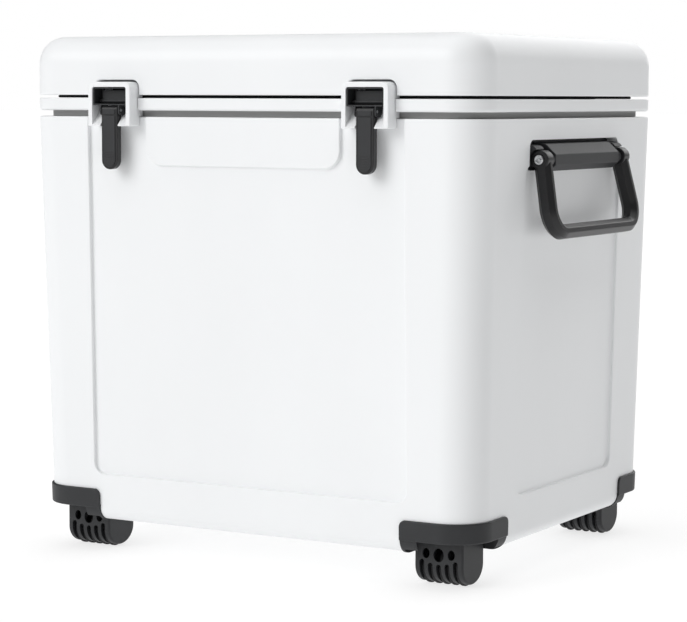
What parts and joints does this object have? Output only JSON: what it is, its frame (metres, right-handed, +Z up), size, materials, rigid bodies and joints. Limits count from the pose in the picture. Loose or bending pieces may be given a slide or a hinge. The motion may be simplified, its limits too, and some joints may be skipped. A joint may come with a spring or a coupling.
{
  "type": "wheeled cooler",
  "caption": "Hard-sided insulated cooler with a hinged lid, draw latches, swinging side handles, a drain plug and small wheels under its corners.",
  "frame": {"origin": "on the floor, under the middle of the tub", "axes": "+Z up, -Y towards the latches, +X along the long side towards the right handle"},
  "size_m": [0.5796, 0.456, 0.5275],
  "materials": {
    "white_shell": "smooth satin moulded polypropylene",
    "white_liner": "smooth white food-grade plastic",
    "foam": "rigid foamed insulation, hidden",
    "gasket_rubber": "soft black seal rubber",
    "dark_plastic": "fine-grained charcoal plastic",
    "glossy_grip": "semi-gloss charcoal plastic",
    "wheel_rubber": "black hard rubber",
    "steel": "bright zinc-plated steel"
  },
  "bodies": {
    "tub": {"outer_shell": "white_shell", "inner_liner": "white_liner", "foam_core": "foam", "rim_frame": "white_shell", "drain_fitting": "dark_plastic", "drain_seal": "gasket_rubber", "drain_nut": "white_liner", "latch_bezel_left": "white_shell", "latch_bezel_right": "white_shell", "latch_pocket_left": "dark_plastic", "latch_pocket_right": "dark_plastic", "lever_pin_left": "steel", "lever_pin_right": "steel", "hook_pin_left": "steel", "hook_pin_right": "steel", "handle_bracket_left": "dark_plastic", "handle_bracket_right": "dark_plastic", "hinge_leaf_tub_left": "dark_plastic", "hinge_leaf_tub_right": "dark_plastic", "hinge_pin_left": "steel", "hinge_pin_right": "steel", "handle_screw_left_front": "steel", "handle_screw_right_front": "steel", "handle_screw_left_rear": "steel", "handle_screw_right_rear": "steel", "corner_bracket_front_left": "dark_plastic", "corner_bracket_front_right": "dark_plastic", "corner_bracket_rear_left": "dark_plastic", "corner_bracket_rear_right": "dark_plastic", "wheel_housing_front_left": "dark_plastic", "wheel_housing_front_right": "dark_plastic", "wheel_housing_rear_left": "dark_plastic", "wheel_housing_rear_right": "dark_plastic", "wheel_axle_front_left": "steel", "wheel_axle_front_right": "steel", "wheel_axle_rear_left": "steel", "wheel_axle_rear_right": "steel"},
    "lid": {"lid_shell": "white_shell", "lid_liner": "white_liner", "lid_foam": "foam", "lid_gasket": "gasket_rubber", "lid_keeper_left": "dark_plastic", "lid_keeper_right": "dark_plastic", "hinge_leaf_lid_left": "dark_plastic", "hinge_leaf_lid_right": "dark_plastic"},
    "drain_plug": {"drain_plug": "dark_plastic"},
    "latch_lever_left": {"latch_lever_left": "dark_plastic"},
    "latch_hook_left": {"latch_hook_left": "dark_plastic"},
    "handle_bail_left": {"handle_bail_left": "glossy_grip"},
    "wheel_front_left": {"wheel_front_left": "wheel_rubber"},
    "wheel_rear_left": {"wheel_rear_left": "wheel_rubber"},
    "latch_lever_right": {"latch_lever_right": "dark_plastic"},
    "latch_hook_right": {"latch_hook_right": "dark_plastic"},
    "handle_bail_right": {"handle_bail_right": "glossy_grip"},
    "wheel_front_right": {"wheel_front_right": "wheel_rubber"},
    "wheel_rear_right": {"wheel_rear_right": "wheel_rubber"}
  },
  "joints": [
    {"name": "lid_hinge", "type": "hinge", "parent": "tub", "child": "lid", "pos_m": [0, 0.223, 0.467], "axis": [-1, 0, 0], "range_deg": [0, 100]},
    {"name": "latch_lever_left_turn", "type": "hinge", "parent": "tub", "child": "latch_lever_left", "pos_m": [-0.146, -0.224, 0.4535], "axis": [-1, 0, 0], "range_deg": [0, 100]},
    {"name": "latch_hook_left_tilt", "type": "hinge", "parent": "tub", "child": "latch_hook_left", "pos_m": [-0.146, -0.2158, 0.4625], "axis": [1, 0, 0], "range_deg": [0, 10.1]},
    {"name": "handle_bail_left_swing", "type": "hinge", "parent": "tub", "child": "handle_bail_left", "pos_m": [-0.2667, 0, 0.4075], "axis": [0, 1, 0], "range_deg": [0, 90]},
    {"name": "wheel_front_left_roll", "type": "hinge", "parent": "tub", "child": "wheel_front_left", "pos_m": [-0.205, -0.1625, 0.0185], "axis": [1, 0, 0], "continuous": true},
    {"name": "wheel_rear_left_roll", "type": "hinge", "parent": "tub", "child": "wheel_rear_left", "pos_m": [-0.205, 0.1625, 0.0185], "axis": [1, 0, 0], "continuous": true},
    {"name": "latch_lever_right_turn", "type": "hinge", "parent": "tub", "child": "latch_lever_right", "pos_m": [0.146, -0.224, 0.4535], "axis": [-1, 0, 0], "range_deg": [0, 100]},
    {"name": "latch_hook_right_tilt", "type": "hinge", "parent": "tub", "child": "latch_hook_right", "pos_m": [0.146, -0.2158, 0.4625], "axis": [1, 0, 0], "range_deg": [0, 10.1]},
    {"name": "handle_bail_right_swing", "type": "hinge", "parent": "tub", "child": "handle_bail_right", "pos_m": [0.2667, 0, 0.4075], "axis": [0, -1, 0], "range_deg": [0, 90]},
    {"name": "wheel_front_right_roll", "type": "hinge", "parent": "tub", "child": "wheel_front_right", "pos_m": [0.205, -0.1625, 0.0185], "axis": [1, 0, 0], "continuous": true},
    {"name": "wheel_rear_right_roll", "type": "hinge", "parent": "tub", "child": "wheel_rear_right", "pos_m": [0.205, 0.1625, 0.0185], "axis": [1, 0, 0], "continuous": true},
    {"name": "drain_plug_pull", "type": "slide", "parent": "tub", "child": "drain_plug", "axis": [0, 1, 0], "range_m": [0, 0.06]}
  ],
  "couplings": [
    {"joint": "latch_hook_left_tilt", "follows": "latch_lever_left_turn", "ratio": 0.1},
    {"joint": "latch_hook_right_tilt", "follows": "latch_lever_right_turn", "ratio": 0.1}
  ]
}
